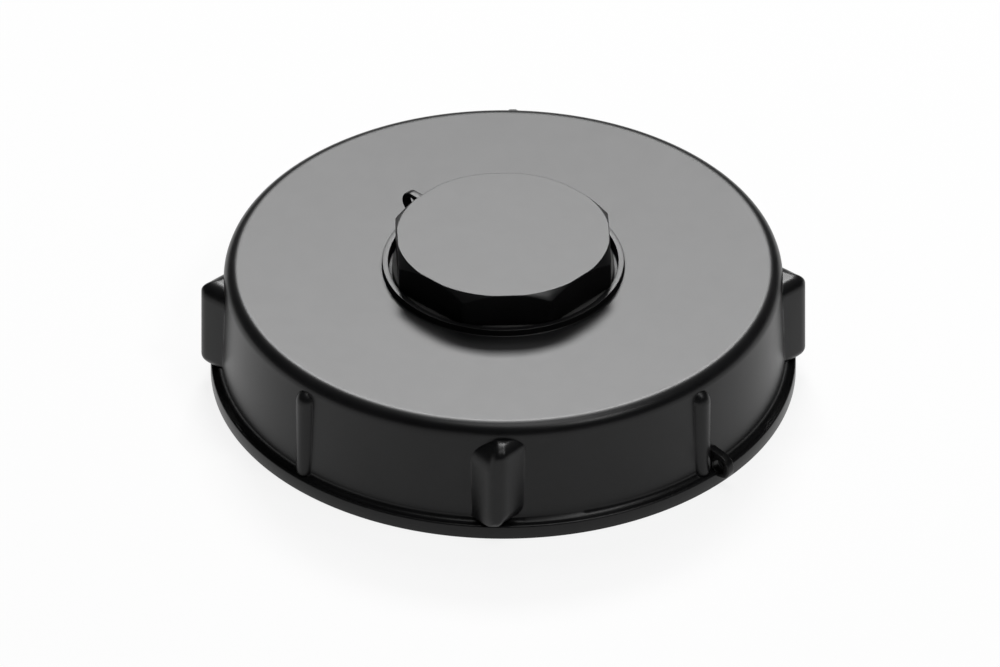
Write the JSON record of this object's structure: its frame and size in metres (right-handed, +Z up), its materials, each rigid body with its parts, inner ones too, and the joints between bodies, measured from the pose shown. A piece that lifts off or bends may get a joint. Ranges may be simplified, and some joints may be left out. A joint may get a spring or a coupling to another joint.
{
  "type": "intermediate bulk container lid",
  "caption": "Round screw lid for a bulk container's filling neck, with grip lugs, seal eyelets, a flat gasket and a central eight-sided screw plug.",
  "frame": {"origin": "on the lid's axis, at the bottom face of its rim", "axes": "+Z up along the lid's axis; -Y towards the viewer of the picture, through the front grip lug; +X to the right"},
  "size_m": [0.1858, 0.1858, 0.0511],
  "materials": {
    "lid_plastic": "black moulded polyethylene, satin gloss",
    "plug_plastic": "black moulded polyethylene, satin gloss",
    "seal_rubber": "matt black rubber"
  },
  "bodies": {
    "lid": {"lid": "lid_plastic", "lid_gasket": "seal_rubber"},
    "plug_gasket": {"plug_gasket": "seal_rubber"},
    "plug": {"plug": "plug_plastic"}
  },
  "joints": [
    {"name": "plug_rise", "type": "slide", "parent": "lid", "child": "plug_gasket", "axis": [0, 0, 1], "range_m": [0, 0.0141]},
    {"name": "plug_turn", "type": "hinge", "parent": "plug_gasket", "child": "plug", "pos_m": [0, 0, 0.0402], "axis": [0, 0, 1], "range_deg": [0, 1260]}
  ],
  "couplings": [
    {"joint": "plug_rise", "follows": "plug_turn", "m_per_rad": 0.00063662}
  ]
}
